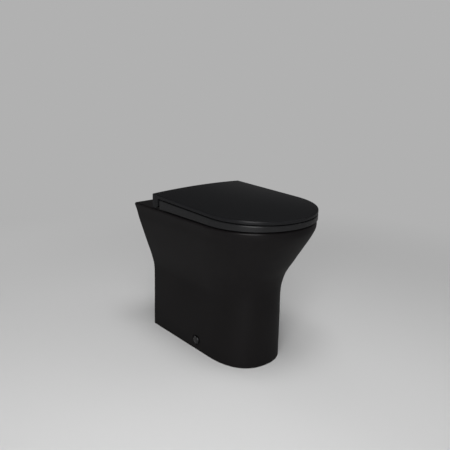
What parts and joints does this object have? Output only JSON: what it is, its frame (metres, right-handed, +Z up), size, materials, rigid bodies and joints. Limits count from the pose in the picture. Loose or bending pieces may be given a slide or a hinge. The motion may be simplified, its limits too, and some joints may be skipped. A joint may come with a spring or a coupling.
{
  "type": "back to wall toilet",
  "caption": "Matt black back to wall toilet pan with a skirted rimless bowl, a D-shaped soft closing seat and lid, and a horizontal outlet at the back.",
  "frame": {"origin": "centre of the footprint at floor level, midway between the wall plane and the rim's front", "axes": "+Z up, +Y towards the wall, +X to the right seen from the front"},
  "size_m": [0.3438, 0.52, 0.4753],
  "materials": {
    "pan_ceramic": "matt black glaze on vitreous china, soft sheen",
    "seat_plastic": "matt black moulded thermoset",
    "lid_plastic": "matt black moulded thermoset",
    "seal_rubber": "black moulded rubber",
    "buffer_rubber": "dark grey soft rubber",
    "bracket_steel": "zinc plated steel",
    "screw_steel": "stainless steel",
    "sleeve_plastic": "natural nylon",
    "damper_plastic": "dark grey moulded plastic",
    "cap_chrome": "bright chrome plate",
    "post_chrome": "chrome plated casting",
    "nut_brass": "turned brass"
  },
  "bodies": {
    "base": {"pan": "pan_ceramic", "inlet_seal": "seal_rubber", "floor_bracket_left": "bracket_steel", "floor_bracket_right": "bracket_steel", "side_screws": "screw_steel", "side_sleeves": "sleeve_plastic", "side_cap_left": "cap_chrome", "side_cap_right": "cap_chrome", "hinge_post_left": "post_chrome", "hinge_post_right": "post_chrome", "hinge_gasket_left": "seal_rubber", "hinge_gasket_right": "seal_rubber", "hinge_bolts": "screw_steel", "expansion_plug_left": "seal_rubber", "expansion_plug_right": "seal_rubber", "cone_nuts": "nut_brass", "post_cap_left": "cap_chrome", "post_cap_right": "cap_chrome", "seat_damper_shaft": "screw_steel", "lid_damper_shaft": "screw_steel", "seat_pivot_pin": "screw_steel", "lid_pivot_pin": "screw_steel"},
    "seat_unit": {"seat_ring": "seat_plastic", "seat_buffers": "buffer_rubber", "seat_damper_body": "damper_plastic", "seat_bush": "sleeve_plastic"},
    "lid_unit": {"lid": "lid_plastic", "lid_buffers": "buffer_rubber", "lid_damper_body": "damper_plastic", "lid_bush": "sleeve_plastic"}
  },
  "joints": [
    {"name": "seat_hinge", "type": "hinge", "parent": "base", "child": "seat_unit", "pos_m": [0, 0.1563, 0.4546], "axis": [-1, 0, 0], "range_deg": [0, 90]},
    {"name": "lid_hinge", "type": "hinge", "parent": "seat_unit", "child": "lid_unit", "pos_m": [0, 0.1563, 0.4546], "axis": [-1, 0, 0], "range_deg": [0, 92]}
  ]
}
